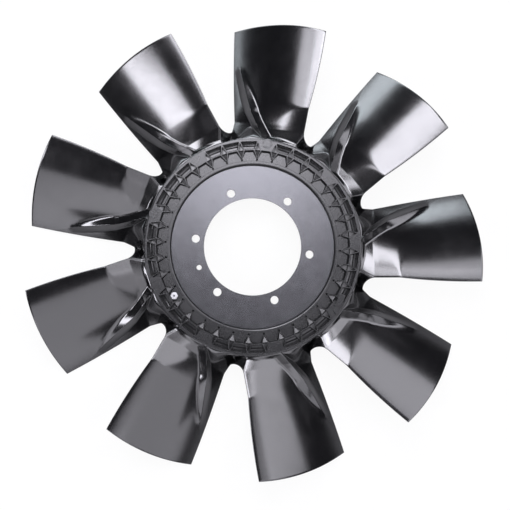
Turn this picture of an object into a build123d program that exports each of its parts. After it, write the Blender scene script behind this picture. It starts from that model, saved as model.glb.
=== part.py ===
from build123d import *
import os
from math import cos, hypot, radians, sin

# Axial fan impeller: a one-piece plastic moulding of nine blades round a pocketed ring,
# moulded over a flat steel hub plate, with one balance rivet set in a pocket of the ring.
# Z is the fan's axis, +Z is the inlet side, and Z = 0 is the rear face of the hub plate.
# Angles are in degrees, counted anticlockwise from +X as seen from the inlet side.

# Hub plate
bore_diameter = 151.0
bolt_circle_diameter = 178.0
bolt_count = 6
bolt_hole_diameter = 12.5
first_bolt_angle = -7.9
locating_hole_diameter = 8.0
locating_hole_angle = 201.3
plate_thickness = 5.0
plate_grip = 13.0

# Ring
ring_inner_diameter = 252.0
ring_width = 42.0
ring_front = 17.0
ring_depth = 57.0
grip_thickness = 5.0
rim_chamfer_across = 2.2
rim_chamfer_down = 1.2
lip_chamfer = 2.0

# Honeycomb in the front of the ring
cell_count = 36
first_pin_angle = 7.1
pin_circle_offset = 9.0
pin_hole_diameter = 3.0
pin_hole_sides = 6
land_offset = 10.7
rib_width = 1.6
rib_nose_width = 2.4
kite_width = 8.6
kite_nose_width = 0.8
kite_depth = 4.5
kite_fall = 5.0
kite_start = 3.4
kite_shoulder = 14.0
kite_end = 25.0
outer_pocket_depth = 6.0
outer_pocket_fall = 4.0
outer_pocket_end = 27.8

# Coring in the rear of the ring
rear_cell_count = 18
rear_floor_depth = 4.0
rear_wall = 6.0
rear_rib_width = 2.6
rear_grip_wall = 4.0

# Blades, with each blade's own X axis pointing outwards along it
blade_count = 9
outer_diameter = 704.0
crease_distance = 224.0
throat_distance = 193.0
leading_edge_offset = 48.0
leading_tip_offset = 54.0
leading_edge_bow = 2.2
leading_root_offset = 37.0
trailing_edge_offset = 68.0
trailing_tip_offset = 89.1
trailing_edge_bow = 1.0
trailing_throat_offset = 61.8
trailing_root_offset = 63.5
leading_tip_height = 35.0
leading_crease_height = 31.0
leading_throat_height = 22.0
trailing_tip_height = -45.0
trailing_crease_height = -40.0
trailing_root_height = -33.0
leading_recess = 3.0
camber_start = 0.22
blade_thickness = 4.2
edge_thickness = 2.6
panel_spans = 5
root_spans = 2

# Gap between two blades
throat_radius = 12.8
gap_clearance = 0.3
web_thickness = 4.0
web_inset = 1.2
web_foot_share = 0.975
web_head_share = 0.015

# Stiffening fin on each blade
fin_start_distance = 163.5
fin_start_offset = 11.0
fin_kink_distance = 212.0
fin_kink_offset = 40.5
fin_tip_distance = 280.0
fin_tip_offset = 68.2
fin_root_length = 8.0
fin_start_height = 15.5
fin_kink_height = 14.5
fin_tip_height = 0.8
fin_ridge_width = 1.6
fin_start_flank = 10.0
fin_kink_flank = 13.0
fin_back_width = 6.0
fin_tip_width = 1.6
fin_taper = 2.5
fin_sink = 2.2
fin_midway = 0.5

# Shoulder from the ring's rim down to the blade, between a fin and the next blade
shoulder_angles = (8.0, 14.0, 23.0)
shoulder_reach = (13.0, 20.0, 16.0)
shoulder_bulge = 0.42
shoulder_drop = 3.0
shoulder_sink = 2.2

# Pads where the fins meet the ring
pad_diameter = 15.0
pad_distance = 161.0
pad_angle = 1.9
pad_rise = 0.8
round_pad_blades = (2, 4, 5)
bar_pad_blade = 8
bar_pad_length = 32.0
bar_pad_width = 10.5
bar_pad_rise = 3.0
bar_pad_distance = 158.0
bar_pad_angle = 6.0
bar_pad_turn = 12.0
bar_pad_corner = 5.0

# Balance rivet
rivet_head_across_corners = 12.6
rivet_head_sides = 6
rivet_head_height = 3.4
rivet_socket_diameter = 3.6
rivet_socket_depth = 1.6
rivet_shank_diameter = 5.0
rivet_shank_length = 5.0
rivet_cell = 21
rivet_offset = 8.0

# Worked out from the sizes above
ring_inner_radius = ring_inner_diameter / 2
ring_outer_radius = ring_inner_radius + ring_width
ring_rear = ring_front - ring_depth
plate_radius = ring_inner_radius + plate_grip
land_front = plate_thickness + grip_thickness
land_radius = ring_inner_radius + land_offset
pin_circle_radius = ring_inner_radius + pin_circle_offset
outer_radius = outer_diameter / 2
blade_pitch = 360 / blade_count
cell_pitch = 360 / cell_count
cells_per_blade = cell_count // blade_count
first_cell_angle = first_pin_angle - cell_pitch / 2
overlap = 2.0
beyond = 40.0
buried_radius = ring_outer_radius - 3 * overlap


def polar(radius, angle):
    return radius * cos(radians(angle)), radius * sin(radians(angle))


def disc(radius, z_low, z_high):
    return Pos(0, 0, z_low) * Cylinder(radius, z_high - z_low, align=(Align.CENTER, Align.CENTER, Align.MIN))


def prism(points, z_low, z_high):
    outline = make_face(Polyline(*points, close=True))
    return Pos(0, 0, z_low) * extrude(outline, z_high - z_low)


def spread(start, end, share):
    return start + (end - start) * share


# Hub plate


def hub_plate():
    plate = disc(plate_radius, 0, plate_thickness)
    plate -= disc(bore_diameter / 2, -overlap, plate_thickness + overlap)
    hole = disc(bolt_hole_diameter / 2, -overlap, plate_thickness + overlap)
    places = PolarLocations(bolt_circle_diameter / 2, bolt_count, first_bolt_angle)
    plate -= [place * hole for place in places]
    locating_hole = disc(locating_hole_diameter / 2, -overlap, plate_thickness + overlap)
    plate -= Pos(*polar(bolt_circle_diameter / 2, locating_hole_angle)) * locating_hole
    return plate


# Honeycomb ring


def kite_half_width(distance):
    """Half the width of a kite pocket at a distance outwards from the circle of pins."""
    if distance < kite_shoulder:
        share = (distance - kite_start) / (kite_shoulder - kite_start)
    else:
        share = (kite_end - distance) / (kite_end - kite_shoulder)
    return max(share, 0) * kite_width / 2


def cell_half_width(radius):
    """Half the room between two neighbouring kites, less a rib at each side."""
    half_pitch = radius * sin(radians(cell_pitch / 2))
    return half_pitch - kite_half_width(radius - pin_circle_radius) - rib_width


def sloping_pocket(start, end, depth, fall, outline):
    """A pocket in the ring's front with a given outline, whose floor falls away towards the rim."""
    top = ring_front + overlap
    high = ring_front - depth
    low = high - fall
    side = Plane.XZ * make_face(Polyline((start, top), (start, high), (end, low), (end, top), close=True))
    widest = max(point[1] for point in outline)
    return extrude(side, widest, both=True) & prism(outline, low - overlap, top + overlap)


def kite_pocket():
    start, shoulder, end = [pin_circle_radius + distance for distance in (kite_start, kite_shoulder, kite_end)]
    nose, half = kite_nose_width / 2, kite_width / 2
    lower_side = [(start, -nose), (shoulder, -half), (end, -nose)]
    upper_side = [(end, nose), (shoulder, half), (start, nose)]
    outline = lower_side + upper_side
    return sloping_pocket(start, end, kite_depth, kite_fall, outline)


def land_bay():
    """The room between two kites, open to the flat land inside the circle of pins."""
    start = land_radius - overlap
    end = pin_circle_radius + kite_shoulder
    near = land_radius * sin(radians(cell_pitch / 2)) - rib_nose_width / 2
    far = cell_half_width(end)
    return prism([(start, -near), (end, -far), (end, far), (start, near)], land_front, ring_front + overlap)


def outer_pocket():
    start = pin_circle_radius + kite_shoulder + rib_width
    end = pin_circle_radius + outer_pocket_end
    near, far = cell_half_width(start), cell_half_width(end)
    outline = [(start, -near), (end, -far), (end, far), (start, near)]
    return sloping_pocket(start, end, outer_pocket_depth, outer_pocket_fall, outline)


def pin_hole():
    """Where a pin of the mould held the plate. Few sides, because there are many of them."""
    outline = make_face(RegularPolygon(pin_hole_diameter / 2, pin_hole_sides))
    return Pos(0, 0, plate_thickness) * extrude(outline, land_front + overlap - plate_thickness)


def rear_pocket():
    start = plate_radius + rear_grip_wall
    end = ring_outer_radius - rear_wall
    half_pitch = 180 / rear_cell_count
    near = start * sin(radians(half_pitch)) - rear_rib_width / 2
    far = end * sin(radians(half_pitch)) - rear_rib_width / 2
    top = ring_front - max(kite_depth + kite_fall, outer_pocket_depth + outer_pocket_fall) - rear_floor_depth
    return prism([(start, -near), (end, -far), (end, far), (start, near)], ring_rear - overlap, top)


def ring():
    body = disc(ring_outer_radius, ring_rear, ring_front)
    body -= disc(ring_inner_radius, ring_rear - overlap, ring_front + overlap)
    top = body.faces().sort_by(Axis.Z)[-1]
    body = chamfer(top.outer_wire().edges(), rim_chamfer_across, rim_chamfer_down, reference=top)
    body -= disc(land_radius, land_front, ring_front + overlap)
    inner_circles = body.edges().filter_by(GeomType.CIRCLE).group_by(SortBy.RADIUS)[0]
    body = chamfer(inner_circles.sort_by(Axis.Z)[-1], lip_chamfer)
    body -= disc(plate_radius, 0, plate_thickness)
    kite = kite_pocket()
    bay = land_bay()
    outer = outer_pocket()
    rear = rear_pocket()
    pin = pin_hole()
    cuts = []
    for cell in range(cell_count):
        pin_angle = first_pin_angle + cell * cell_pitch
        cell_angle = first_cell_angle + cell * cell_pitch
        cuts.append(Rot(0, 0, pin_angle) * kite)
        cuts.append(Pos(*polar(pin_circle_radius, pin_angle)) * pin)
        cuts.append(Rot(0, 0, cell_angle) * bay)
        if cell % cells_per_blade:
            cuts.append(Rot(0, 0, cell_angle) * outer)
    for cell in range(rear_cell_count):
        cuts.append(Rot(0, 0, first_cell_angle + cell * 360 / rear_cell_count) * rear)
    return body - cuts


# Blades


def leading_offset(x):
    """Sideways distance from a blade's own axis to its leading edge, which is the near, clockwise one."""
    if x >= crease_distance:
        share = (x - crease_distance) / (outer_radius - crease_distance)
        bow = 4 * leading_edge_bow * share * (1 - share)
        return spread(leading_edge_offset, leading_tip_offset, share) + bow
    if x >= throat_distance:
        return leading_edge_offset
    share = (throat_distance - x) / (throat_distance - ring_outer_radius)
    return spread(leading_edge_offset, leading_root_offset, share)


def trailing_offset(x):
    if x >= crease_distance:
        share = (x - crease_distance) / (outer_radius - crease_distance)
        bow = 4 * trailing_edge_bow * share * (1 - share)
        return spread(trailing_edge_offset, trailing_tip_offset, share) + bow
    if x >= throat_distance:
        share = (x - throat_distance) / (crease_distance - throat_distance)
        return spread(trailing_throat_offset, trailing_edge_offset, share)
    share = (throat_distance - x) / (throat_distance - ring_outer_radius)
    return spread(trailing_throat_offset, trailing_root_offset, share)


def leading_height(x):
    if x >= crease_distance:
        share = (x - crease_distance) / (outer_radius - crease_distance)
        return spread(leading_crease_height, leading_tip_height, share)
    if x >= throat_distance:
        share = (x - throat_distance) / (crease_distance - throat_distance)
        return spread(leading_throat_height, leading_crease_height, share)
    share = (throat_distance - x) / (throat_distance - ring_outer_radius)
    return spread(leading_throat_height, ring_front - leading_recess, share)


def trailing_height(x):
    if x >= crease_distance:
        share = (x - crease_distance) / (outer_radius - crease_distance)
        return spread(trailing_crease_height, trailing_tip_height, share)
    share = (crease_distance - x) / (crease_distance - ring_outer_radius)
    return spread(trailing_crease_height, trailing_root_height, share)


def chord_point(x, share, sunk=0.0):
    """A point of the blade's front face at a share of the chord, or sunk below it along the normal."""
    y_lead, y_trail = -leading_offset(x), trailing_offset(x)
    z_lead, z_trail = leading_height(x), trailing_height(x)
    fall = camber_start * share + (1 - camber_start) * share ** 2
    steep = camber_start + 2 * (1 - camber_start) * share
    y = spread(y_lead, y_trail, share)
    z = spread(z_lead, z_trail, fall)
    run, drop = y_trail - y_lead, (z_lead - z_trail) * steep
    length = hypot(run, drop)
    return y - sunk * drop / length, z - sunk * run / length


def surface_height(x, y):
    """Height of the blade's front face over a point of the blade's own plan."""
    y_lead, y_trail = -leading_offset(x), trailing_offset(x)
    return chord_point(x, (y - y_lead) / (y_trail - y_lead))[1]


def across_blade(x):
    """The plane across the blade at a distance along it, with its own X along the blade's Y."""
    return Plane(origin=(x, 0, 0), x_dir=(0, 1, 0), z_dir=(1, 0, 0))


def blade_section(x):
    """The blade's section across its own axis: a cambered strip, thickest in the middle."""
    front = [chord_point(x, share) for share in (0, 0.5, 1)]
    back = [
        chord_point(x, 1, edge_thickness),
        chord_point(x, 0.5, blade_thickness),
        chord_point(x, 0, edge_thickness),
    ]
    strip = ThreePointArc(*front)
    strip += Line(front[-1], back[0])
    strip += ThreePointArc(*back)
    strip += Line(back[-1], front[0])
    return across_blade(x) * make_face(strip)


def blade_strips(start, end, spans):
    """Part of a blade as ruled strips between evenly spaced sections, which mesh with few triangles."""
    return loft([blade_section(spread(start, end, step / spans)) for step in range(spans + 1)], ruled=True)


def blade_panel():
    panel = blade_strips(crease_distance, outer_radius + overlap, panel_spans)
    return panel & disc(outer_radius, ring_rear - beyond, leading_tip_height + beyond)


def blade_root():
    start = buried_radius
    inner = blade_strips(start, throat_distance, root_spans)
    outer = blade_strips(throat_distance, crease_distance, root_spans)
    return inner + outer


def web_line(x, share):
    """Where the web meets a blade: at its trailing edge for share 1, its leading edge for share 0."""
    y, z = chord_point(x, share, web_inset)
    return Vector(x, y, z)


def web():
    """The steep wall that joins one blade's trailing edge to the next blade's leading edge at the ring."""
    start = buried_radius
    end = throat_distance - overlap
    foot = [web_line(x, web_foot_share) for x in (start, end)]
    head = [web_line(x, web_head_share).rotate(Axis.Z, blade_pitch) for x in (start, end)]
    facing = Rot(0, 0, -blade_pitch / 2)
    sections = []
    for distance in (start - overlap, end + overlap):
        corners = []
        for line in (foot, head):
            low, high = [Vector(*(facing * Pos(*point)).position) for point in line]
            share = (distance - low.X) / (high.X - low.X)
            corners.append((spread(low.Y, high.Y, share), spread(low.Z, high.Z, share)))
        (y_foot, z_foot), (y_head, z_head) = corners
        length = hypot(y_head - y_foot, z_head - z_foot)
        y_back = web_thickness * (z_head - z_foot) / length
        z_back = -web_thickness * (y_head - y_foot) / length
        outline = Polyline(
            (y_foot, z_foot),
            (y_head, z_head),
            (y_head + y_back, z_head + z_back),
            (y_foot + y_back, z_foot + z_back),
            close=True,
        )
        sections.append(across_blade(distance) * make_face(outline))
    return facing.inverse() * loft(sections, ruled=True)


def gap_cut():
    """The room between this blade's trailing edge and the next blade's leading edge, seen along the axis."""
    near, far = 0, crease_distance
    slope = (trailing_edge_offset - trailing_throat_offset) / (crease_distance - throat_distance)
    trail = trailing_edge_offset + gap_clearance
    lead = leading_edge_offset + gap_clearance
    trail_side = [(near, trail - slope * (far - near)), (far, trail), (far, far), (near, far)]
    lead_side = [(near, -lead), (far, -lead), (far, -far), (near, -far)]
    room = make_face(Polyline(*trail_side, close=True))
    room &= Rot(0, 0, blade_pitch) * make_face(Polyline(*lead_side, close=True))
    inmost = room.vertices().sort_by_distance((0, 0, 0))[0]
    room = fillet(inmost, throat_radius)
    return Pos(0, 0, ring_rear - beyond) * extrude(room, ring_depth + 2 * beyond)


def fin_section(past_kink):
    """The fin's section at a share of its outer leg, or of its inner leg for shares below nought."""
    start = Vector(fin_start_distance, fin_start_offset)
    kink = Vector(fin_kink_distance, fin_kink_offset)
    end = Vector(fin_tip_distance, fin_tip_offset)
    along = (end - start).normalized()
    across = Vector(along.Y, -along.X)
    if past_kink < 0:
        centre = kink + (kink - start) * past_kink
        rise = spread(fin_kink_height, fin_start_height, -past_kink)
        flank = spread(fin_kink_flank, fin_start_flank, -past_kink)
        fade = 1.0
    else:
        centre = kink + (end - kink) * past_kink
        rise = spread(fin_kink_height, fin_tip_height, past_kink)
        fade = 1 - past_kink ** fin_taper
        flank = spread(fin_tip_width, fin_kink_flank, fade)
    back = spread(fin_tip_width, fin_back_width, fade)
    ridge = fin_ridge_width / 2
    flank_foot = centre + across * flank
    back_foot = centre - across * back
    crest = surface_height(centre.X, centre.Y) + rise
    outline = Polyline(
        (-flank, surface_height(flank_foot.X, flank_foot.Y) - fin_sink),
        (-ridge, crest),
        (ridge, crest),
        (back, surface_height(back_foot.X, back_foot.Y) - fin_sink),
        close=True,
    )
    plane = Plane(origin=(centre.X, centre.Y, 0), x_dir=-across, z_dir=along)
    return plane * make_face(outline)


def fin():
    """A leaning rib from the ring's front out to the blade's trailing side, with a kink in its crest."""
    inner_length = hypot(fin_kink_distance - fin_start_distance, fin_kink_offset - fin_start_offset)
    root = -1 - fin_root_length / inner_length
    inner = loft([fin_section(share) for share in (root, -fin_midway, 0)], ruled=True)
    outer = loft([fin_section(share) for share in (0, fin_midway, 1)], ruled=True)
    return inner + outer


def shoulder_section(angle, reach):
    """The shoulder's section through the fan's axis: flat at the rim, then steep down to the blade."""
    near, far = buried_radius, ring_outer_radius + reach
    bulge = ring_outer_radius + reach * shoulder_bulge
    low_near = surface_height(*polar(near, angle)) - shoulder_sink
    low_far = surface_height(*polar(far, angle)) - shoulder_sink
    top = ring_front - rim_chamfer_down - shoulder_drop
    outline = Polyline(
        (near, low_near),
        (near, top),
        (bulge, top - shoulder_drop),
        (far, low_far),
        close=True,
    )
    facing = radians(angle)
    plane = Plane(origin=(0, 0, 0), x_dir=(cos(facing), sin(facing), 0), z_dir=(sin(facing), -cos(facing), 0))
    return plane * make_face(outline)


def shoulder():
    places = zip(shoulder_angles, shoulder_reach)
    return loft([shoulder_section(angle, reach) for angle, reach in places], ruled=True)


def blade():
    whole = blade_panel() + blade_root() + web() + fin() + shoulder()
    whole -= disc(ring_outer_radius - overlap, ring_rear - beyond, leading_tip_height + beyond)
    cut = gap_cut()
    whole -= [cut, Rot(0, 0, -blade_pitch) * cut]
    return whole


# Pads and rivet


def pads():
    round_pad = disc(pad_diameter / 2, land_front, ring_front + pad_rise)
    shapes = []
    for number in round_pad_blades:
        shapes.append(Pos(*polar(pad_distance, number * blade_pitch + pad_angle)) * round_pad)
    half_length, half_width = bar_pad_length / 2, bar_pad_width / 2
    points = [
        (-half_width, -half_length + bar_pad_corner),
        (-half_width, half_length),
        (half_width, half_length),
        (half_width, -half_length),
        (-half_width + bar_pad_corner, -half_length),
    ]
    bar = prism(points, land_front - overlap, ring_front + bar_pad_rise)
    angle = bar_pad_blade * blade_pitch + bar_pad_angle
    shapes.append(Pos(*polar(bar_pad_distance, angle)) * Rot(0, 0, angle + bar_pad_turn) * bar)
    return shapes


def rivet_place():
    """Where the balance rivet stands, on the land between two kites."""
    radius = pin_circle_radius + rivet_offset
    return Pos(*polar(radius, first_cell_angle + rivet_cell * cell_pitch))


def balance_rivet():
    crown = land_front + rivet_head_height
    outline = make_face(RegularPolygon(rivet_head_across_corners / 2, rivet_head_sides))
    head = Pos(0, 0, land_front) * extrude(outline, rivet_head_height)
    head -= disc(rivet_socket_diameter / 2, crown - rivet_socket_depth, crown + overlap)
    shank = disc(rivet_shank_diameter / 2, land_front - rivet_shank_length, land_front)
    return rivet_place() * (head + shank)


def impeller_moulding():
    whole = ring() + pads()
    one = blade()
    whole = whole + [Rot(0, 0, number * blade_pitch) * one for number in range(blade_count)]
    shank_hole = disc(rivet_shank_diameter / 2, land_front - rivet_shank_length, land_front + overlap)
    return whole - rivet_place() * shank_hole


os.makedirs("parts", exist_ok=True)
export_step(hub_plate(), "parts/hub_plate.step")
export_step(balance_rivet(), "parts/balance_rivet.step")
export_step(impeller_moulding(), "parts/impeller_moulding.step")
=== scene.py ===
from math import atan2, cos, hypot, pi, radians, sin

import bmesh
import bpy
import numpy as np
from mathutils import Matrix, Vector
from mathutils.geometry import delaunay_2d_cdt


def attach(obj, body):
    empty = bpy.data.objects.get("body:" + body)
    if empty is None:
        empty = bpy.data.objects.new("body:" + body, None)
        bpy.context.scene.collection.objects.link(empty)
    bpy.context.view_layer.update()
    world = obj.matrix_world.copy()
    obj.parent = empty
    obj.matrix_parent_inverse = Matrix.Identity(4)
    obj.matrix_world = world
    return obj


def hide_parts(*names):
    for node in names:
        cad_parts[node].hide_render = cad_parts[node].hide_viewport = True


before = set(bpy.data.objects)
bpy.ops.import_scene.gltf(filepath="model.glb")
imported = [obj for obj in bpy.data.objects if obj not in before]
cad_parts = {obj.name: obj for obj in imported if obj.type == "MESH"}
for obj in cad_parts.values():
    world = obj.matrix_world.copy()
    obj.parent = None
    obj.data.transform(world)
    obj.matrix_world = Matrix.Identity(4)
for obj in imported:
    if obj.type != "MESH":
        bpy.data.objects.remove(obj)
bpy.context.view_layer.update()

# Lengths are in millimetres and are turned into metres when a mesh is made.
# Heights are along the fan's axis, from the rear face of the hub plate.
MM = 0.001
MERGE_DISTANCE = 1e-7

# Ring
INNER_RADIUS = 126.0
OUTER_RADIUS = 168.0
RING_FRONT = 17.0
RING_REAR = -40.0
PLATE_RADIUS = 139.0
PLATE_FRONT = 5.0
LAND_FRONT = 10.0
LAND_RADIUS = 137.2
BAY_DRAFT = 2.2
SIDE_DRAFT = 1.3
NOSE_DRAFT = 0.2
LAND_STEP_RADIUS = 133.0
RIM_RADIUS = 165.4
# Radius and height down the outside of the ring and down its bore, past the plate's rim
RIM_LINE = [(RIM_RADIUS, RING_FRONT), (166.4, 16.8), (167.2, 16.3), (167.75, 15.5), (OUTER_RADIUS, 14.5)]
RIM_LINE += [(OUTER_RADIUS, -39.2), (167.75, -39.8), (167.2, RING_REAR)]
LIP_LINE = [(LAND_STEP_RADIUS, LAND_FRONT), (LAND_STEP_RADIUS - 0.3, 9.8), (129.3, 9.8), (128.2, 9.5)]
LIP_LINE += [(127.2, 8.9), (126.5, 8.1), (126.1, 7.2), (INNER_RADIUS, 6.4), (INNER_RADIUS, PLATE_FRONT)]
LIP_LINE += [(PLATE_RADIUS, PLATE_FRONT), (PLATE_RADIUS, 0.0), (INNER_RADIUS, 0.0)]
LIP_LINE += [(INNER_RADIUS, -39.4), (INNER_RADIUS + 0.6, RING_REAR)]
CELLS = 36
CELLS_PER_BLADE = 4
CELL_PITCH = 360 / CELLS
FIRST_PIN = 7.1
PIN_CIRCLE = 135.0
PIN_RADIUS = 1.5
PIN_SIDES = 16
# How far out from the pin's side and how deep under the land each level of its hole lies
PIN_LEVELS = [(0.12, 0.0), (0.03, 0.05), (0.0, 0.15), (0.0, 2.4), (-1.4, 4.6)]
RIB = 1.25
RIB_NOSE = 2.0
KITE_NOSE = 138.3
KITE_SHOULDER = 149.0
KITE_END = 161.0
KITE_HALF = 4.6
# Radius and half width along a kite-shaped pocket
KITE_OUTLINE = [(KITE_NOSE, 0.4), (147.8, 4.1), (149.8, 4.25), (KITE_END, 0.4)]
# Radius and height along the sloping floors of the two kinds of pocket
KITE_FLOOR = [(137.4, 13.0), (147.8, 14.4), (149.8, 13.0), (160.0, 10.5)]
OUTER_FLOOR = [(150.6, 12.4), (154.6, 12.0), (156.6, 10.6), (162.8, 9.2)]
REAR_CELLS = 18
REAR_START = 143.0
REAR_END = 162.0
REAR_RIB = 2.6
REAR_TOP = 3.0
CIRCLE_POINTS = 288
# How pockets and bays are cut: their floors, corners in plan, and roundings at the rim and at the foot
KITE_POCKET = dict(floor=KITE_FLOOR, corner=0.3, edge=0.15, foot=0.15)
OUTER_POCKET = dict(floor=OUTER_FLOOR, corner=0.8, edge=0.25, foot=0.4, draft=0.7)
REAR_POCKET = dict(floor=[(0.0, REAR_TOP)], corner=1.2, edge=0.5, foot=1.2, down=-1)
BAY_WALL = dict(floor=[(0.0, LAND_FRONT)], corner=0.6, edge=0.2, foot=0.2)

# Blades
BLADES = 9
PITCH = 360 / BLADES
TIP_RADIUS = 352.0
CREASE = 224.0
THROAT = 193.0
THROAT_RADIUS = 12.8
LEAD_BEND = 186.0
GAP_CLEARANCE = 0.3

# How far the two edges lie from the blade's own axis, and how far they bulge
LEAD_OFFSET = 48.0
LEAD_ROOT_OFFSET = 37.0
LEAD_TIP_OFFSET = 54.0
LEAD_BULGE = 2.2
TRAIL_ROOT_OFFSET = 63.5
TRAIL_THROAT_OFFSET = 61.8
TRAIL_CREASE_OFFSET = 68.0
TRAIL_TIP_OFFSET = 89.1
TRAIL_BULGE = 1.0

# Heights of the edges at the crease, and their slopes inside and outside it
LEAD_HEIGHT = 31.0
LEAD_SLOPE_INSIDE = 0.304
LEAD_SLOPE_OUTSIDE = 0.031
TRAIL_HEIGHT = -40.0
TRAIL_SLOPE_INSIDE = 0.125
TRAIL_SLOPE_OUTSIDE = 0.039

# The crease is sharp at the leading edge, and bends inwards and fades across the blade
CREASE_SHARP = 0.3
CREASE_FADED = 8.0
CREASE_AT_TRAIL = 3.0
CREASE_BEND = 9.5
CREASE_BEND_SPAN = 74.0
CREASE_BEND_POWER = 1.15
CREASE_BEND_LIMIT = 1.2

# Section of the blade
THICKNESS = 4.2
EDGE_THICKNESS = 2.6
BURIED_RADIUS = 166.6
CAMBER = 0.22
CORNER = 0.8
ROOT_CORNER = 0.08
CORNER_FROM = 181.0
CORNER_OVER = 7.0
TIP_ROUND = 1.0
TIP_ROUND_REAR = 0.8
TIP_TURNS = (35, 65, 90)
NOSE_TURNS = (30, 60, 90)
NOSE_POINTS = 2 * len(NOSE_TURNS)
NOSE_LIMIT = 2.2
TRIM_MARGIN = 1.2
CHORD_LIMIT = 0.9

# How many sections lie up to the neck, up to the crease and up to the tip
NECK_START = 190.0
ROOT_SECTIONS = 28
NECK_SECTIONS = 20
OUTER_SECTIONS = 62
# How many points lie across a section's stretches, which are finest at the fin's crest
SECTION_POINTS = (20, 28, 8, 24, 22)
CREST_REACH = 1.5
FIN_REACH_AHEAD = 18.0
FIN_SHARE_AHEAD = 0.3
FIN_REACH_BACK = 14.0
FIN_SHARE_BACK = 0.6

# Web between two blades. Its ends are tucked under them.
WEB_DEPTH = 10.0
WEB_SINK = 0.1
WEB_NUDGE = 0.4
WEB_EDGE = 0.9
WEB_EDGE_ROUND = 0.27
WEB_REAR = -39.0
WEB_COLUMNS = 33
WEB_STEPS = 26
WEB_ROOT_BACK = (154.0, 63.7)
WEB_ROOT_AHEAD = (162.6, 36.4)
TUCK_BACK = 2.0
TUCK_AHEAD = 5.0
# Shares of the way across that lie under the blade behind and under the blade ahead
SHARES_BACK = [-1.0, -0.5]
SHARES_AHEAD = [1.33, 1.66, 2.0]

# The fin's crest, and along it the rise, and the widths of its flat and of its steep side
FIN_START = (163.5, 11.0)
FIN_KINK = (212.0, 40.5)
FIN_TIP = (280.0, 68.2)
FIN_RISE = [(0, 15.5), (56.5, 14.5), (129.8, 0.8)]
FIN_SINK = [(126, 0.0), (136, 3.0)]
FIN_FLAT = [(0, 12.5), (34, 11.1), (50, 11.5), (57, 13.0), (75, 11.8), (97, 9.2), (116, 6.1), (130, 1.8)]
FIN_STEEP = [(0, 6.5), (50, 6.8), (65, 7.4), (82, 7.6), (111, 5.5), (130, 2.5)]
FIN_CREST_ROUND = 1.2
FIN_FOOT_ROUND = 3.2
FIN_TO_EDGE = 8.0

# The ring's shoulder reaches out furthest at one angle from the blade's own axis
SHOULDER_LEAST = 8.0
SHOULDER_MORE = 20.0
SHOULDER_ANGLE = 10.5
SHOULDER_SPREAD = 4.5
SHOULDER_TOP = 14.5
SHOULDER_SINK = 4.0
SHOULDER_DROP = 25.0
SHOULDER_DROP_FROM = 0.8
SHOULDER_FOOT_ROUND = 3.5

# Near the ring a blade stays under the ring's front
RIM_BLEND_REACH = 8.0
RIM_BLEND_WIDTH = 6.0
RIM_SINK = 0.4
RIM_ROUND = 2.0

# Pads and rivet, with how far out and how high each level of them lies
PAD_BLADES = (2, 4, 5)
PAD_DISTANCE = 161.0
PAD_ANGLE = 1.9
PAD_RADIUS = 7.5
PAD_SIDES = 48
PAD_LEVELS = [(0.0, 8.0), (0.0, 17.2), (-0.15, 17.6), (-0.5, 17.8), (-1.6, 17.8), (-1.9, 17.55)]
BAR_BLADE = 8
BAR_DISTANCE = 158.0
BAR_ANGLE = 6.0
BAR_TURN = 12.0
BAR_HALF_WIDTH = 5.25
BAR_HALF_LENGTH = 16.0
BAR_CORNER = 5.0
BAR_ROUND = 1.6
BAR_ROUND_SHARE = 0.5
BAR_LEVELS = [(0.0, 8.0), (0.0, 18.8), (-0.16, 19.4), (-0.6, 19.84), (-1.2, 20.0)]
RIVET_CELL = 21
RIVET_OFFSET = 8.0
RIVET_RADIUS = 6.3
RIVET_SIDES = 6
RIVET_ROUND = 0.9
RIVET_STEPS = 3
RIVET_LEVELS = [(-0.3, 5.2), (0.0, LAND_FRONT), (0.0, 12.5), (-0.2, 13.0), (-0.6, 13.3), (-1.2, 13.4)]
DIMPLE_LEVELS = [(2.0, 13.4), (1.8, 13.2), (1.6, 10.4), (0.4, 9.6)]
DIMPLE_TURN = -22.5

# A face is level if the upright part of its normal is over LEVEL. It is never over NEVER_LEVEL.
LEVEL = 0.975
NEVER_LEVEL = 2.0
SMOOTH_ANGLE = 35
BLADE_SMOOTH_ANGLE = 40


def polar(radius, angle):
    return radius * cos(radians(angle)), radius * sin(radians(angle))


def spread(start, end, share):
    return start + (end - start) * share


def follow(places, value):
    """A value read off a short list of (place, value) pairs."""
    return np.interp(value, [p for p, _ in places], [v for _, v in places])


def smooth_max(a, b, k):
    h = np.clip(0.5 + 0.5 * (a - b) / k, 0, 1)
    return b + (a - b) * h + k * h * (1 - h)


def smooth_min(a, b, k):
    return -smooth_max(-a, -b, k)


def ease(t):
    t = np.clip(t, 0, 1)
    return t * t * (3 - 2 * t)


def bulge(height, share):
    """A parabola that is highest halfway."""
    return 4 * height * share * (1 - share)


def turned(points, angle):
    """Points of a plan or of space, turned about the fan's axis."""
    a = radians(angle)
    points = np.asarray(points, float).copy()
    x, y = points[..., 0].copy(), points[..., 1].copy()
    points[..., 0] = x * cos(a) - y * sin(a)
    points[..., 1] = x * sin(a) + y * cos(a)
    return points


# Meshes


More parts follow.
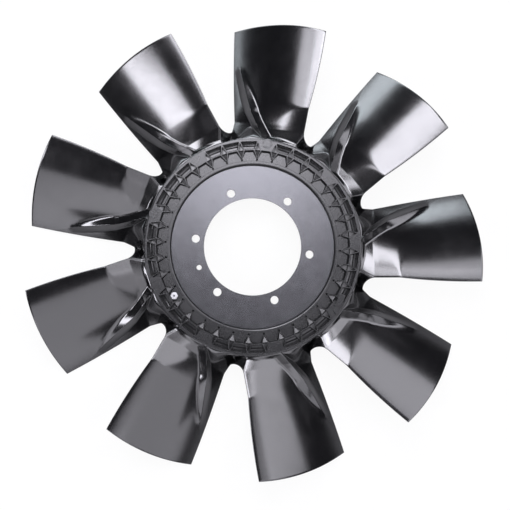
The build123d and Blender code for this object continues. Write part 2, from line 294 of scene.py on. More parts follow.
def add_mesh(name, verts, faces, slot_name, smooth_angle=SMOOTH_ANGLE, level=NEVER_LEVEL):
    """A mesh piece in millimetres, riding on the one body. Faces more level than the limit stay flat."""
    mesh = bpy.data.meshes.new(name)
    mesh.from_pydata([tuple(v) for v in np.asarray(verts, float) * MM], [], [tuple(f) for f in faces])
    bm = bmesh.new()
    bm.from_mesh(mesh)
    bmesh.ops.remove_doubles(bm, verts=bm.verts, dist=MERGE_DISTANCE)
    bmesh.ops.recalc_face_normals(bm, faces=bm.faces)
    bm.to_mesh(mesh)
    bm.free()
    mesh.shade_smooth()
    mesh.set_sharp_from_angle(angle=radians(smooth_angle))
    for face in mesh.polygons:
        face.use_smooth = abs(face.normal.z) < level
    obj = bpy.data.objects.new(name, mesh)
    bpy.context.scene.collection.objects.link(obj)
    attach(obj, "root")
    return obj


def grid_faces(rows, columns, wrap=False):
    """Quads over a grid of points kept row by row."""
    last = columns if wrap else columns - 1
    faces = []
    for i in range(rows - 1):
        for j in range(last):
            a = i * columns + j
            b = i * columns + (j + 1) % columns
            faces.append((a, b, b + columns, a + columns))
    return faces


# Blade shape, in the blade's own axes, with x along it and y towards its trailing edge


def leading_offset(x):
    share = (x - CREASE) / (TIP_RADIUS - CREASE)
    outer = spread(LEAD_OFFSET, LEAD_TIP_OFFSET, share) + bulge(LEAD_BULGE, share)
    inner = spread(LEAD_OFFSET, LEAD_ROOT_OFFSET, (LEAD_BEND - x) / (LEAD_BEND - OUTER_RADIUS))
    return np.where(x >= CREASE, outer, np.where(x >= LEAD_BEND, LEAD_OFFSET, inner))


def trailing_offset(x):
    share = (x - CREASE) / (TIP_RADIUS - CREASE)
    outer = spread(TRAIL_CREASE_OFFSET, TRAIL_TIP_OFFSET, share) + bulge(TRAIL_BULGE, share)
    middle = spread(TRAIL_THROAT_OFFSET, TRAIL_CREASE_OFFSET, (x - THROAT) / (CREASE - THROAT))
    inner = spread(TRAIL_THROAT_OFFSET, TRAIL_ROOT_OFFSET, (THROAT - x) / (THROAT - OUTER_RADIUS))
    return np.where(x >= CREASE, outer, np.where(x >= THROAT, middle, inner))


def chord_share(x, y):
    lead, trail = -leading_offset(x), trailing_offset(x)
    return (y - lead) / (trail - lead)


def edge_heights(x, y):
    """Heights of the two edges. The crease bends towards the ring and fades towards the fin."""
    across = np.clip((y + LEAD_OFFSET) / CREASE_BEND_SPAN, 0, CREASE_BEND_LIMIT)
    bent = x + CREASE_BEND * across**CREASE_BEND_POWER - CREASE
    fading = spread(CREASE_SHARP, CREASE_FADED, ease(across))
    high = LEAD_HEIGHT + smooth_min(bent * LEAD_SLOPE_INSIDE, bent * LEAD_SLOPE_OUTSIDE, fading)
    inwards = CREASE - x
    low = smooth_max(inwards * TRAIL_SLOPE_INSIDE, inwards * TRAIL_SLOPE_OUTSIDE, CREASE_AT_TRAIL)
    low = TRAIL_HEIGHT + low
    return high, low


def base_height(x, y):
    high, low = edge_heights(x, y)
    share = chord_share(x, y)
    return spread(high, low, CAMBER * share + (1 - CAMBER) * share**2)


def below_face(x, y, depth):
    """The point at a depth under the blade's own face, square to it across the chord."""
    step = 0.05
    slope = (base_height(x, y + step) - base_height(x, y - step)) / (2 * step)
    length = np.hypot(1.0, slope)
    return y + depth * slope / length, base_height(x, y) - depth / length


fin_span = np.subtract(FIN_TIP, FIN_START)
fin_length = float(np.hypot(*fin_span))
fin_along = fin_span / fin_length
fin_across = np.array([-fin_along[1], fin_along[0]])
kink_along = float(np.subtract(FIN_KINK, FIN_START) @ fin_along)
kink_across = float(np.subtract(FIN_KINK, FIN_START) @ fin_across)
FIN_BEND = [(0, 0.0), (kink_along, kink_across), (fin_length, 0.0)]


def fin_height(x, y):
    """Height of the fin's flat side and steep side, met at its crest. It lies under the blade elsewhere."""
    dx, dy = x - FIN_START[0], y - FIN_START[1]
    along = dx * fin_along[0] + dy * fin_along[1]
    bend = follow(FIN_BEND, along)
    side = dx * fin_across[0] + dy * fin_across[1] - bend

    rise = follow(FIN_RISE, along)
    flat_side = rise * (1 + side / follow(FIN_FLAT, along))
    steep_side = rise * (1 - side / follow(FIN_STEEP, along))
    return base_height(x, y) + smooth_min(flat_side, steep_side, FIN_CREST_ROUND) - follow(FIN_SINK, along)


def crest_offset(x):
    """The crest's y over a distance x, and past its tip a line beside the trailing edge."""
    marks = [FIN_START, FIN_KINK, FIN_TIP]
    return np.minimum(follow(marks, x), trailing_offset(x) - FIN_TO_EDGE)


def shoulder_height(x, y):
    """The ring's rim rolling over and falling steeply to the blade."""
    radius, angle = np.hypot(x, y), np.degrees(np.arctan2(y, x))
    reach = SHOULDER_LEAST + SHOULDER_MORE * np.exp(-(((angle - SHOULDER_ANGLE) / SHOULDER_SPREAD) ** 2))
    share = (radius - OUTER_RADIUS) / reach
    far = OUTER_RADIUS + reach
    turn = np.radians(angle)
    foot = base_height(far * np.cos(turn), far * np.sin(turn)) - SHOULDER_SINK
    past = np.clip(share - SHOULDER_DROP_FROM, 0, None)
    return spread(SHOULDER_TOP, foot, ease(share)) - SHOULDER_DROP * past**2


def front_height(x, y):
    """Height of a blade's whole front: its face, its fin and the ring's shoulder."""
    height = smooth_max(base_height(x, y), fin_height(x, y), FIN_FOOT_ROUND)
    height = smooth_max(height, shoulder_height(x, y), SHOULDER_FOOT_ROUND)
    near_ring = ease((OUTER_RADIUS + RIM_BLEND_REACH - np.hypot(x, y)) / RIM_BLEND_WIDTH)
    return spread(height, smooth_min(height, RING_FRONT - RIM_SINK, RIM_ROUND), near_ring)


def even(start, end, count):
    return np.linspace(start, end, count, endpoint=False)


def section_loop(x_of, inset, corner):
    """One closed loop round the blade's section. x_of turns the points' y into x."""
    x = x_of(np.zeros(1))
    crest = float(crest_offset(x)[0])
    lead, trail = -float(leading_offset(x)[0]), float(trailing_offset(x)[0])
    foot = max(crest - FIN_REACH_AHEAD, spread(lead, crest, FIN_SHARE_AHEAD))
    heel = min(crest + FIN_REACH_BACK, spread(crest, trail, FIN_SHARE_BACK))
    stops = [lead, foot, crest - CREST_REACH, crest + CREST_REACH, heel, trail]
    stretches = [even(*stretch) for stretch in zip(stops, stops[1:], SECTION_POINTS)]
    share = (np.concatenate(stretches + [[trail]]) - lead) / (trail - lead)
    trim = corner / (trail - lead)
    share = np.clip(share, trim, 1 - trim)
    share[1:-1] = np.clip(share[1:-1], trim * TRIM_MARGIN, 1 - trim * TRIM_MARGIN)
    xs = np.full_like(share, x[0])
    for _ in range(4):
        ys = spread(-leading_offset(xs), trailing_offset(xs), share)
        xs = x_of(ys)
    front = np.stack([xs, ys, front_height(xs, ys) - inset], axis=1)
    depth = EDGE_THICKNESS + bulge(THICKNESS - EDGE_THICKNESS, share) - inset
    rear_y, rear_z = below_face(xs, ys, depth)
    rear = np.stack([x_of(rear_y), rear_y, rear_z], axis=1)
    return front, rear


def nose(front_end, rear_end, outward, corner):
    """Points round a blunt edge with rounded corners."""
    across = rear_end - front_end
    depth = np.linalg.norm(across)
    across = across / depth
    radius = min(corner, depth / NOSE_LIMIT)
    turns = [radians(angle) for angle in NOSE_TURNS]
    points = []
    for a in turns:
        points.append(front_end + across * radius * (1 - cos(a)) + outward * radius * sin(a))
    for a in reversed(turns):
        points.append(rear_end - across * radius * (1 - cos(a)) + outward * radius * sin(a))
    return points


def outward_of(end, before):
    step = end - before
    return step / np.linalg.norm(step)


def blade_mesh():
    """Points and faces of one blade, in its own axes."""
    last_station = TIP_RADIUS - TIP_ROUND
    stations = list(even(BURIED_RADIUS, NECK_START, ROOT_SECTIONS))
    stations += list(even(NECK_START, CREASE, NECK_SECTIONS))
    stations += list(np.linspace(CREASE, last_station, OUTER_SECTIONS))
    levels = [(station, 0.0) for station in stations]
    for angle in TIP_TURNS:
        a = radians(angle)
        levels.append((last_station + TIP_ROUND * sin(a), TIP_ROUND * (1 - cos(a))))
    rows = []
    for station, inset in levels:
        if station <= CREASE:
            weight = 1 - (station - BURIED_RADIUS) / (CREASE - BURIED_RADIUS)
        else:
            weight = min((station - CREASE) / (TIP_RADIUS - CREASE), 1.0)

        def x_of(y, station=station, weight=weight):
            bent = np.sqrt(station**2 - np.minimum(np.abs(y), CHORD_LIMIT * station) ** 2)
            return spread(np.full_like(y, station), bent, weight)

        corner = spread(ROOT_CORNER, CORNER, float(ease((station - CORNER_FROM) / CORNER_OVER)))
        front, rear = section_loop(x_of, inset, corner)
        rear[:, 2] += inset * TIP_ROUND_REAR
        loop = list(front) + nose(front[-1], rear[-1], outward_of(front[-1], front[-2]), corner)
        loop += list(rear[::-1]) + nose(rear[0], front[0], outward_of(front[0], front[1]), corner)
        rows.append(loop)
    n, count = len(front), len(rows[0])
    faces = grid_faces(len(rows), count, wrap=True)
    for end in (0, (len(rows) - 1) * count):
        for i in range(n - 1):
            j = 2 * n + NOSE_POINTS - 1 - i
            faces.append((end + i, end + i + 1, end + j - 1, end + j))
        faces.append(tuple(end + n - 1 + i for i in range(NOSE_POINTS + 2)))
        last = end + 2 * n + NOSE_POINTS - 1
        faces.append(tuple(last + i for i in range(NOSE_POINTS + 1)) + (end,))
    return np.array(rows).reshape(-1, 3), faces


# Web between two blades, out to the arc of the gap


def throat_arc():
    """Centre, start angle and end angle of the arc that ends the gap, in the first blade's axes."""
    slope = (TRAIL_CREASE_OFFSET - TRAIL_THROAT_OFFSET) / (CREASE - THROAT)
    trail_dir = np.array([1.0, slope]) / hypot(1.0, slope)
    trail_at = np.array([CREASE, TRAIL_CREASE_OFFSET + GAP_CLEARANCE])
    lead_dir = np.array(polar(1.0, PITCH))
    lead_at = (LEAD_OFFSET + GAP_CLEARANCE) * np.array([sin(radians(PITCH)), -cos(radians(PITCH))])
    share = np.linalg.solve(np.array([trail_dir, -lead_dir]).T, lead_at - trail_at)[0]
    vertex = trail_at + share * trail_dir
    half = 0.5 * (radians(PITCH) - atan2(slope, 1.0))
    middle = trail_dir + lead_dir
    middle /= np.linalg.norm(middle)
    facing = atan2(middle[1], middle[0])
    centre = vertex + middle * THROAT_RADIUS / sin(half)
    return centre, facing - (pi / 2 + half), facing - (pi / 2 + half) - (pi - 2 * half)


def web_mesh():
    """The steep wall from one blade's trailing edge to the next one's leading edge."""
    centre, arc_start, arc_end = throat_arc()
    back_angle = atan2(WEB_ROOT_BACK[1], WEB_ROOT_BACK[0])
    ahead_angle = radians(PITCH) - atan2(WEB_ROOT_AHEAD[1], WEB_ROOT_AHEAD[0])
    inner_angles = np.degrees([back_angle, ahead_angle])
    shares = np.concatenate([SHARES_BACK, np.linspace(0, 1, WEB_COLUMNS), SHARES_AHEAD])
    steps = np.linspace(0, 1, WEB_STEPS)
    back_dir = np.array([0.0, -1.0])
    ahead_dir = turned(np.array([0.0, 1.0]), PITCH)

    def line_at(share):
        """Points of the plan from the ring out to the arc."""
        arc = spread(arc_start, arc_end, share)
        outer = centre + THROAT_RADIUS * np.array([cos(arc), sin(arc)])
        inner = np.array(polar(BURIED_RADIUS, spread(*inner_angles, share)))
        return np.array([spread(inner, outer, t) for t in steps])

    columns = []
    for share in shares:
        inside_share = min(max(share, 0.0), 1.0)
        tucked = back_dir * TUCK_BACK * max(-share, 0.0) + ahead_dir * TUCK_AHEAD * max(share - 1.0, 0.0)
        back = line_at(0.0) + (tucked if share < 0 else back_dir * WEB_NUDGE)
        ahead = turned(line_at(1.0) + (tucked if share > 1 else ahead_dir * WEB_NUDGE), -PITCH)
        ends = [front_height(line[:, 0], line[:, 1]) - WEB_SINK for line in (back, ahead)]
        height = spread(ends[0], ends[1], float(ease(inside_share)))
        columns.append(np.column_stack([line_at(inside_share) + tucked, height]))

    front = np.array(columns)
    edge = front[:, -1:, :].copy()
    inward = front[:, -2:-1, :] - edge
    inward[:, :, 2] = 0
    inward /= np.linalg.norm(inward, axis=2, keepdims=True)
    front[:, -1:, :] = edge + inward * WEB_EDGE
    edge_mid, edge_low = edge + inward * WEB_EDGE_ROUND, edge.copy()
    edge_mid[:, :, 2] -= WEB_EDGE_ROUND
    edge_low[:, :, 2] -= WEB_EDGE
    rear = front.copy()
    rear[:, -1:, :] = edge
    rear[:, :, 2] = np.maximum(rear[:, :, 2] - WEB_DEPTH, WEB_REAR)
    whole = np.concatenate([front, edge_mid, edge_low, rear[:, ::-1, :]], axis=1)
    count = whole.shape[1]
    faces = grid_faces(len(shares), count, wrap=True)
    faces.append(tuple(range(count)))
    faces.append(tuple(range((len(shares) - 1) * count, len(shares) * count)))
    return whole.reshape(-1, 3), faces


# Ring with its pockets

# Half a corner's angle from which it counts as straight
STRAIGHT = radians(89)


def rounded(points, radius, steps=4):
    """An outline with round corners."""
    points = [np.array(p, float) for p in points]
    out = []
    n = len(points)
    for i in range(n):
        before, here, after = points[i - 1], points[i], points[(i + 1) % n]
        a = (before - here) / np.linalg.norm(before - here)
        b = (after - here) / np.linalg.norm(after - here)
        half = 0.5 * np.arccos(np.clip(a @ b, -1, 1))
        for s in range(steps + 1):
            if half > STRAIGHT:
                out.append(here + spread(a, b, s / steps) * radius / 2)
                continue
            centre = here + (a + b) / np.linalg.norm(a + b) * radius / sin(half)
            start = here + a * radius / np.tan(half) - centre
            end = here + b * radius / np.tan(half) - centre
            v = spread(start, end, s / steps)
            out.append(centre + v / np.linalg.norm(v) * radius)
    return np.array(out)


def grown(points, by):
    """An outline, listed anticlockwise, with its sides moved outwards."""
    points = np.asarray(points, float)
    sides = np.roll(points, -1, axis=0) - points
    sides /= np.linalg.norm(sides, axis=1, keepdims=True)
    outward = np.column_stack([sides[:, 1], -sides[:, 0]])
    before = np.roll(outward, 1, axis=0)
    lean = 1 + (before * outward).sum(axis=1, keepdims=True)
    return points + by * (before + outward) / lean


def mirrored(pairs):
    """An outline from (radius, half width) pairs, out along one side and back along the other."""
    return [(r, -half) for r, half in pairs] + [(r, half) for r, half in reversed(pairs)]


def kite_half(radius):
    share = np.interp(radius, [KITE_NOSE, KITE_SHOULDER, KITE_END], [0, 1, 0])
    return float(share) * KITE_HALF


def cell_half(radius):
    """Half the room between two kites at a radius, less a rib at each side."""
    return radius * sin(radians(CELL_PITCH / 2)) - kite_half(radius) - RIB


class Shell:
    """Points and faces gathered for one mesh."""

    def __init__(self):
        self.verts = []
        self.faces = []

    def loop(self, points, heights):
        start = len(self.verts)
        heights = np.broadcast_to(heights, (len(points),))
        for (x, y), z in zip(points, heights):
            self.verts.append((x, y, z))
        return list(range(start, start + len(points)))

    def bands(self, loops):
        for a, b in zip(loops, loops[1:]):
            n = len(a)
            for i in range(n):
                j = (i + 1) % n
                self.faces.append((a[i], a[j], b[j], b[i]))

    def floor(self, loop):
        """Faces across a loop whose two halves mirror each other."""
        n = len(loop)
        for i in range(n // 2 - 1):
            self.faces.append((loop[i], loop[i + 1], loop[n - 2 - i], loop[n - 1 - i]))

    def wall(self, outline, low_outline, top, floor, corner, edge, foot, down=1):
        """A wall from a rounded rim to the foot of a lower outline. Returns its first and last loops."""
        quarter = [radians(angle) for angle in (0, 30, 60, 90)]
        loops = []
        for a in quarter:
            ring = rounded(grown(outline, edge * (1 - sin(a))), corner)
            loops.append(self.loop(ring, top - down * edge * (1 - cos(a))))
        for a in quarter:
            ring = rounded(grown(low_outline, -foot * (1 - cos(a))), corner)
            low = follow(floor, np.hypot(ring[:, 0], ring[:, 1]))
            loops.append(self.loop(ring, low + down * foot * (1 - sin(a))))
        self.bands(loops)
        return loops[0], loops[-1]

    def pocket(self, outline, top, floor, corner, edge, foot, draft=0.0, down=1):
        rim, low = self.wall(outline, grown(outline, -draft), top, floor, corner, edge, foot, down)
        self.floor(low)
        return rim

    def fill(self, outer, inner, holes):
        """Triangles of a flat ring between two loops, less the holes' loops."""
        loops = [outer, inner] + holes
        ids = [i for loop in loops for i in loop]
        points = [Vector(self.verts[i][:2]) for i in ids]
        edges, at = [], 0
        for loop in loops:
            n = len(loop)
            edges += [(at + i, at + (i + 1) % n) for i in range(n)]
            at += n
        out_verts, _, tris, origins, _, _ = delaunay_2d_cdt(points, edges, [], 0, 1e-6)
        middles = np.array([sum((out_verts[i] for i in t), Vector((0, 0))) / len(t) for t in tris])
        coords = np.array(self.verts)[:, :2]
        keep = inside(middles, coords[outer]) & ~inside(middles, coords[inner])
        for loop in holes:
            close = np.nonzero(keep & near(middles, coords[loop]))[0]
            keep[close[inside(middles[close], coords[loop])]] = False
        for i in np.nonzero(keep)[0]:
            self.faces.append(tuple(ids[origins[v][0]] for v in tris[i]))


def near(points, polygon):
    """Which points lie in a polygon's box."""
    low, high = polygon.min(axis=0), polygon.max(axis=0)
    return ((points >= low) & (points <= high)).all(axis=1)


def inside(points, polygon):
    """Which points lie in a polygon."""
    x, y = points[:, 0], points[:, 1]
    result = np.zeros(len(points), bool)
    for (x0, y0), (x1, y1) in zip(np.roll(polygon, 1, axis=0), polygon):
        if y0 != y1:
            result ^= ((y0 > y) != (y1 > y)) & (x < (x1 - x0) * (y - y0) / (y1 - y0) + x0)
    return result


def circle(radius, count=CIRCLE_POINTS):
    return [polar(radius, 360 * i / count) for i in range(count)]


def pin_hole(shell, place):
    """A round hole left by a pin of the mould. Returns its rim."""
    loops = []
    for out, down in PIN_LEVELS:
        ring = np.array(circle(PIN_RADIUS + out, PIN_SIDES)) + place
        loops.append(shell.loop(ring, LAND_FRONT - down))
    shell.bands(loops)
    shell.faces.append(tuple(loops[-1]))
    return loops[0]


def front_of_ring(shell, rim_loop, lip_loop):
    """The land with its bays and pins, and above it the ribs with their kites and outer pockets."""
    kite = mirrored(KITE_OUTLINE)
    outer = mirrored([(r, cell_half(r)) for r, _ in OUTER_FLOOR])
    near_half = LAND_RADIUS * sin(radians(CELL_PITCH / 2)) - RIB_NOSE / 2
    far_half = cell_half(KITE_SHOULDER)
    bay = mirrored([(LAND_RADIUS, near_half), (KITE_SHOULDER, far_half)])
    low_near, low_far = near_half - NOSE_DRAFT, far_half - SIDE_DRAFT
    bay_floor = mirrored([(LAND_RADIUS, low_near), (KITE_SHOULDER - BAY_DRAFT, low_far)])
    contour, low_contour, holes, pins = [], [], [], []
    for cell in range(CELLS):
        pin_angle = FIRST_PIN + cell * CELL_PITCH
        cell_angle = pin_angle - CELL_PITCH / 2
        contour += list(turned(bay, cell_angle))
        low_contour += list(turned(bay_floor, cell_angle))
        holes.append(shell.pocket(turned(kite, pin_angle), RING_FRONT, **KITE_POCKET))
        if cell % CELLS_PER_BLADE:
            holes.append(shell.pocket(turned(outer, cell_angle), RING_FRONT, **OUTER_POCKET))
        pins.append(pin_hole(shell, polar(PIN_CIRCLE, pin_angle)))
    ribs_loop, land_loop = shell.wall(contour, low_contour, RING_FRONT, **BAY_WALL)
    shell.fill(rim_loop, ribs_loop, holes)
    shell.fill(land_loop, lip_loop, pins)


def rear_of_ring(shell, rim_loop, lip_loop):
    half_pitch = sin(radians(180 / REAR_CELLS))
    outline = mirrored([(r, r * half_pitch - REAR_RIB / 2) for r in (REAR_START, REAR_END)])
    holes = []
    for cell in range(REAR_CELLS):
        turn = FIRST_PIN - CELL_PITCH / 2 + cell * 360 / REAR_CELLS
        holes.append(shell.pocket(turned(outline, turn), RING_REAR, **REAR_POCKET))
    shell.fill(rim_loop, lip_loop, holes)


def ring_mesh():
    shell = Shell()
    rim_loops = [shell.loop(circle(r), z) for r, z in RIM_LINE]
    lip_loops = [shell.loop(circle(r), z) for r, z in LIP_LINE]
    shell.bands(rim_loops)
    shell.bands(lip_loops)
    front_of_ring(shell, rim_loops[0], lip_loops[0])
    rear_of_ring(shell, rim_loops[-1], lip_loops[-1])
    return shell.verts, shell.faces


# Pads and the rivet


def stack(shell, outline_of, levels):
    """A solid from outlines one above another, each made from a move inwards or outwards."""
    loops = [shell.loop(outline_of(out), z) for out, z in levels]
    shell.bands(loops)
    shell.faces.append(tuple(loops[0]))
    shell.faces.append(tuple(loops[-1]))


def pads_mesh():
    shell = Shell()
    for number in PAD_BLADES:
        place = np.array(polar(PAD_DISTANCE, number * PITCH + PAD_ANGLE))
        stack(shell, lambda out: np.array(circle(PAD_RADIUS + out, PAD_SIDES)) + place, PAD_LEVELS)
    wide, long = BAR_HALF_WIDTH, BAR_HALF_LENGTH
    points = [(-wide, -long + BAR_CORNER), (-wide + BAR_CORNER, -long)]
    points += [(wide, -long), (wide, long), (-wide, long)]
    angle = BAR_BLADE * PITCH + BAR_ANGLE
    points = turned(points, angle + BAR_TURN) + np.array(polar(BAR_DISTANCE, angle))
    stack(shell, lambda out: rounded(grown(points, out), BAR_ROUND + out * BAR_ROUND_SHARE), BAR_LEVELS)
    return shell.verts, shell.faces


def rivet_mesh():
    """A six-sided head with a small round dimple."""
    shell = Shell()
    angle = FIRST_PIN - CELL_PITCH / 2 + RIVET_CELL * CELL_PITCH
    place = np.array(polar(PIN_CIRCLE + RIVET_OFFSET, angle))
    corners = np.array([polar(RIVET_RADIUS, 360 * i / RIVET_SIDES) for i in range(RIVET_SIDES)])
    loops = []
    for out, z in RIVET_LEVELS:
        loops.append(shell.loop(rounded(grown(corners, out), RIVET_ROUND, RIVET_STEPS) + place, z))
    for radius, z in DIMPLE_LEVELS:
        ring = turned(circle(radius, RIVET_SIDES * (RIVET_STEPS + 1)), DIMPLE_TURN)
        loops.append(shell.loop(ring + place, z))
    shell.bands(loops)
    shell.faces.append(tuple(loops[0]))
    shell.faces.append(tuple(loops[-1]))
    return shell.verts, shell.faces


ring_pieces = [add_mesh("ring", *ring_mesh(), "blade_plastic", level=LEVEL)]
ring_pieces.append(add_mesh("ring_pads", *pads_mesh(), "blade_plastic", level=LEVEL))
blade_pieces = []
blade_points, blade_faces = blade_mesh()
web_points, web_faces = web_mesh()
for number in range(BLADES):
    turn = number * PITCH
    for kind, points, faces in (("blade", blade_points, blade_faces), ("web", web_points, web_faces)):
        name = "%s_%d" % (kind, number + 1)
        piece = add_mesh(name, turned(points, turn), faces, "blade_plastic", BLADE_SMOOTH_ANGLE)
        blade_pieces.append(piece)
for piece in ring_pieces + blade_pieces:
    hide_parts("impeller_moulding")
rivet = add_mesh("rivet_head", *rivet_mesh(), "rivet_metal", level=LEVEL)
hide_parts("balance_rivet")

# Materials

# A noise mostly stays between these values
NOISE_LOW = 0.3
NOISE_HIGH = 0.7
# How many waves of a plastic's noises fit in a metre, and how deep in metres its two reliefs are
TONE_SCALE = 90.0
PATCH_SCALE = 28.0
MOTTLE_SCALE = 60.0
MOTTLE_DEPTH = 0.0006
GRAIN_SCALE = 1500.0
GRAIN_DEPTH = 0.0002
PLASTIC_IOR = 1.55


def material(name):
    made = bpy.data.materials.new(name)
    made.use_nodes = True
    tree = made.node_tree
    return made, tree.nodes, tree.links, tree.nodes["Principled BSDF"]


def noise(nodes, links, scale, detail=4.0, rough=0.5):
    where = nodes.new("ShaderNodeTexCoord")
    texture = nodes.new("ShaderNodeTexNoise")
    texture.inputs["Scale"].default_value = scale
    texture.inputs["Detail"].default_value = detail
    texture.inputs["Roughness"].default_value = rough
    links.new(where.outputs["Object"], texture.inputs["Vector"])
    return texture.outputs["Fac"]


def ramp(nodes, links, source, stops):
    made = nodes.new("ShaderNodeValToRGB")
    elements = made.color_ramp.elements
    for element, (place, colour) in zip(elements, stops):
        element.position = place
        element.color = (*colour, 1)
    links.new(source, made.inputs["Fac"])
    return made.outputs["Color"]


def between(nodes, links, source, low, high):
    """A value that follows a noise between two limits."""
    made = nodes.new("ShaderNodeMapRange")
    made.inputs["From Min"].default_value = NOISE_LOW
    made.inputs["From Max"].default_value = NOISE_HIGH
    made.inputs["To Min"].default_value = low
    made.inputs["To Max"].default_value = high
    links.new(source, made.inputs["Value"])
    return made.outputs["Result"]


def bump(nodes, links, source, strength, distance, shader):
    made = nodes.new("ShaderNodeBump")
    made.inputs["Strength"].default_value = strength
    made.inputs["Distance"].default_value = distance
    links.new(source, made.inputs["Height"])
    before = shader.inputs["Normal"]
    if before.is_linked:
        links.new(before.links[0].from_socket, made.inputs["Normal"])
    links.new(made.outputs["Normal"], before)


def plastic(name, dark, light, rough, gloss, coat, mottle, grain):
    made, nodes, links, shader = material(name)
    tone = noise(nodes, links, TONE_SCALE, 6.0, 0.6)
    links.new(ramp(nodes, links, tone, [(0.35, dark), (0.65, light)]), shader.inputs["Base Color"])
    patches = noise(nodes, links, PATCH_SCALE, 8.0, 0.7)
    links.new(between(nodes, links, patches, *rough), shader.inputs["Roughness"])
    shader.inputs["IOR"].default_value = PLASTIC_IOR
    shader.inputs["Specular IOR Level"].default_value = gloss
    shader.inputs["Coat Weight"].default_value = coat
    shader.inputs["Coat Roughness"].default_value = rough[0]
    bump(nodes, links, noise(nodes, links, MOTTLE_SCALE, 5.0, 0.55), mottle, MOTTLE_DEPTH, shader)
    bump(nodes, links, noise(nodes, links, GRAIN_SCALE, 3.0, 0.5), grain, GRAIN_DEPTH, shader)
    return made


def steel():
    made, nodes, links, shader = material("plate_steel")
    tone = noise(nodes, links, 60.0, 6.0, 0.6)
    colours = [(NOISE_LOW, (0.110, 0.111, 0.118)), (NOISE_HIGH, (0.134, 0.135, 0.143))]
    links.new(ramp(nodes, links, tone, colours), shader.inputs["Base Color"])
    patches = noise(nodes, links, 60.0, 5.0)
    links.new(between(nodes, links, patches, 0.24, 0.27), shader.inputs["Roughness"])
    shader.inputs["Metallic"].default_value = 0.85
    bump(nodes, links, noise(nodes, links, 1200.0, 3.0), 0.006, GRAIN_DEPTH, shader)
    return made


def bright_metal():
    made, nodes, links, shader = material("rivet_metal")
    tone = noise(nodes, links, 900.0)
    colours = [(NOISE_LOW, (0.52, 0.52, 0.53)), (NOISE_HIGH, (0.62, 0.62, 0.63))]
    links.new(ramp(nodes, links, tone, colours), shader.inputs["Base Color"])
    patches = noise(nodes, links, 1500.0)
    links.new(between(nodes, links, patches, 0.35, 0.5), shader.inputs["Roughness"])
    shader.inputs["Metallic"].default_value = 0.5
    return made


# A face of the ring's front is a wall below this upright share of its normal. Walls get a darker colour
# that is painted shade.
WALL_SHARE = 0.93
WALL_RADIUS = RIM_RADIUS - 1.0


def dull_walls_with_painted_shade(ring, look):
    """The steep walls in front are rougher than the ring's level faces, and darker in colour as painted
    shade.
    """
    ring.data.materials.append(look)
    for face in ring.data.polygons:
        x, y, z = face.center / MM
        in_front = z > PLATE_FRONT and hypot(x, y) < WALL_RADIUS
        face.material_index = int(in_front and abs(face.normal.z) < WALL_SHARE)


def dress(pieces, look):
    for piece in pieces:
        piece.data.materials.clear()
        piece.data.materials.append(look)


# A plastic's darker and lighter colour, then its roughness, gloss, coat, mottling and grain
BLADE_PLASTIC = ((0.0025, 0.0025, 0.003), (0.004, 0.004, 0.0045), (0.15, 0.23), 1.0, 0.7, 0.07, 0.07)
RING_PLASTIC = ((0.011, 0.011, 0.012), (0.017, 0.017, 0.018), (0.24, 0.31), 0.6, 0.3, 0.02, 0.03)
# The walls' darker colours are painted shade in the pockets, and their higher roughness is their real
# duller finish.
WALL_PLASTIC_PAINTED_SHADE = ((0.003, 0.003, 0.0035), (0.005, 0.005, 0.0055), (0.45, 0.55), 0.3, 0.0, 0.0, 0.03)
dress(blade_pieces, plastic("blade_plastic", *BLADE_PLASTIC))
dress(ring_pieces, plastic("ring_plastic", *RING_PLASTIC))
dull_walls_with_painted_shade(ring_pieces[0], plastic("ring_walls_painted_shade", *WALL_PLASTIC_PAINTED_SHADE))
dress([rivet], bright_metal())
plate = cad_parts["hub_plate"]
dress([plate], steel())

# Floor, lamps and camera

# The floor's height in metres. The camera alone sees the paper glow, so it adds no light to the fan.
FLOOR = -0.0465
FLOOR_HALF = 6.0
GLOW = 1.13
GLOW_SHARE = 0.82


def floor_piece():
    mesh = bpy.data.meshes.new("floor")
    corners = [(x * FLOOR_HALF, y * FLOOR_HALF, FLOOR) for x, y in ((-1, -1), (1, -1), (1, 1), (-1, 1))]
    mesh.from_pydata(corners, [], [(0, 1, 2, 3)])
    obj = bpy.data.objects.new("floor", mesh)
    bpy.context.scene.collection.objects.link(obj)
    made, nodes, links, shader = material("floor_paper")
    colours = [(NOISE_LOW, (0.30, 0.30, 0.30)), (NOISE_HIGH, (0.34, 0.34, 0.34))]
    links.new(ramp(nodes, links, noise(nodes, links, 30.0), colours), shader.inputs["Base Color"])
    shader.inputs["Roughness"].default_value = 1.0
    shader.inputs["Specular IOR Level"].default_value = 0.0
    glow = nodes.new("ShaderNodeEmission")
    glow.inputs["Color"].default_value = (1, 1, 1, 1)
    glow.inputs["Strength"].default_value = GLOW
    path = nodes.new("ShaderNodeLightPath")
    share = nodes.new("ShaderNodeMath")
    share.operation = "MULTIPLY"
    share.inputs[1].default_value = GLOW_SHARE
    links.new(path.outputs["Is Camera Ray"], share.inputs[0])
    mix = nodes.new("ShaderNodeMixShader")
    links.new(share.outputs["Value"], mix.inputs["Fac"])
    links.new(shader.outputs["BSDF"], mix.inputs[1])
    links.new(glow.outputs["Emission"], mix.inputs[2])
    links.new(mix.outputs["Shader"], nodes["Material Output"].inputs["Surface"])
    mesh.materials.append(made)
    return obj


floor_piece()

LAMP_DISTANCE = 2.4
PALE_VIOLET = (0.98, 0.965, 1.05)
COOL = (0.86, 0.93, 1.0)
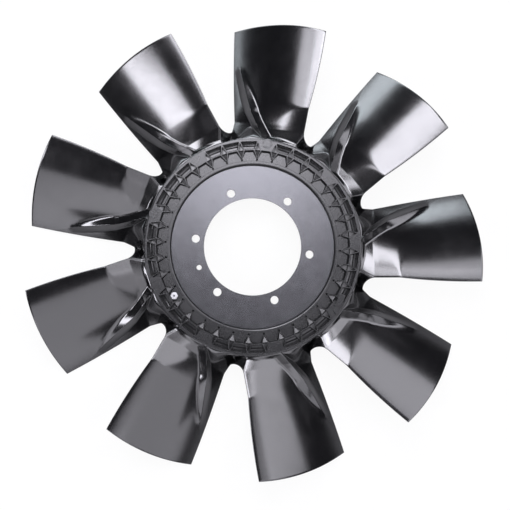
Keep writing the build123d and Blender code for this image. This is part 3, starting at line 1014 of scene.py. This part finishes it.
# Each lamp's name, the azimuths and elevations that it spans in degrees, its radiance and its colour
LAMPS = [
    ("soft_right", (-15, 60), (28, 68), 1.9, PALE_VIOLET),
    ("soft_right_high", (46, 66), (58, 74), 1.6, PALE_VIOLET),
    ("soft_overhead", (45, 105), (70, 86), 5.0, PALE_VIOLET),
    ("soft_top", (82, 118), (38, 74), 6.0, PALE_VIOLET),
    ("soft_upper_left", (124, 148), (52, 77), 3.6, PALE_VIOLET),
    ("soft_left", (187, 207), (24, 56), 6.8, PALE_VIOLET),
    ("soft_low_left", (232, 262), (0, 46), 1.3, PALE_VIOLET),
    ("soft_low", (264, 298), (0, 62), 1.0, PALE_VIOLET),
    ("soft_low_right", (304, 335), (6, 70), 1.0, PALE_VIOLET),
    ("strip_top", (74, 138), (-1, 13), 3.4, COOL),
    ("strip_left", (142, 172), (-1, 3.5), 2.4, COOL),
]


def softbox(name, azimuths, elevations, radiance, colour):
    """A rectangular lamp that faces the fan and fills the given angles as seen from there."""
    azimuth, elevation = sum(azimuths) / 2, sum(elevations) / 2
    wide = radians(azimuths[1] - azimuths[0]) * cos(radians(elevation))
    tall = radians(elevations[1] - elevations[0])
    data = bpy.data.lights.new(name, "AREA")
    data.shape = "RECTANGLE"
    data.size = 2 * LAMP_DISTANCE * np.tan(wide / 2)
    data.size_y = 2 * LAMP_DISTANCE * np.tan(tall / 2)
    # A lamp's power is four times its radiance times its area.
    data.energy = 4 * radiance * data.size * data.size_y
    data.color = colour
    obj = bpy.data.objects.new(name, data)
    bpy.context.scene.collection.objects.link(obj)
    flat_x, flat_y = polar(cos(radians(elevation)), azimuth)
    place = Vector((flat_x, flat_y, sin(radians(elevation)))) * LAMP_DISTANCE
    obj.location = place
    obj.rotation_euler = place.to_track_quat("Z", "Y").to_euler()
    return obj


for lamp in LAMPS:
    softbox(*lamp)

SKY_COLOUR = (0.03, 0.03, 0.033, 1)
SKY_STRENGTH = 0.6
world = bpy.data.worlds.new("studio")
bpy.context.scene.world = world
world.use_nodes = True
sky = world.node_tree.nodes["Background"]
sky.inputs["Color"].default_value = SKY_COLOUR
sky.inputs["Strength"].default_value = SKY_STRENGTH

# The camera stands a little left of and below the axis. Its picture is 510 pixels across.
PICTURE = 510
FOCAL_PIXELS = 1031
CENTRE_PIXEL = (221, 197)
CAMERA_TILT = -5.41
CAMERA_TURN = 0.76
CAMERA_OFFSET = (-49.5, 73.9, 1567.0)
AIM_HEIGHT = 35
SENSOR_WIDTH = 36.0
CLIP_END = 50


def camera():
    data = bpy.data.cameras.new("camera")
    data.sensor_width = SENSOR_WIDTH
    data.lens = FOCAL_PIXELS / PICTURE * SENSOR_WIDTH
    data.shift_x = (PICTURE / 2 - CENTRE_PIXEL[0]) / PICTURE
    data.shift_y = (CENTRE_PIXEL[1] - PICTURE / 2) / PICTURE
    data.clip_end = CLIP_END
    obj = bpy.data.objects.new("camera", data)
    bpy.context.scene.collection.objects.link(obj)
    turn = Matrix.Rotation(radians(CAMERA_TILT), 3, "X") @ Matrix.Rotation(radians(CAMERA_TURN), 3, "Y")
    back = turn.transposed()
    place = back @ Vector(CAMERA_OFFSET) + Vector((0, 0, AIM_HEIGHT))
    obj.matrix_world = Matrix.Translation(place * MM) @ back.to_4x4()
    bpy.context.scene.camera = obj


camera()
bpy.context.scene.view_settings.view_transform = "Standard"
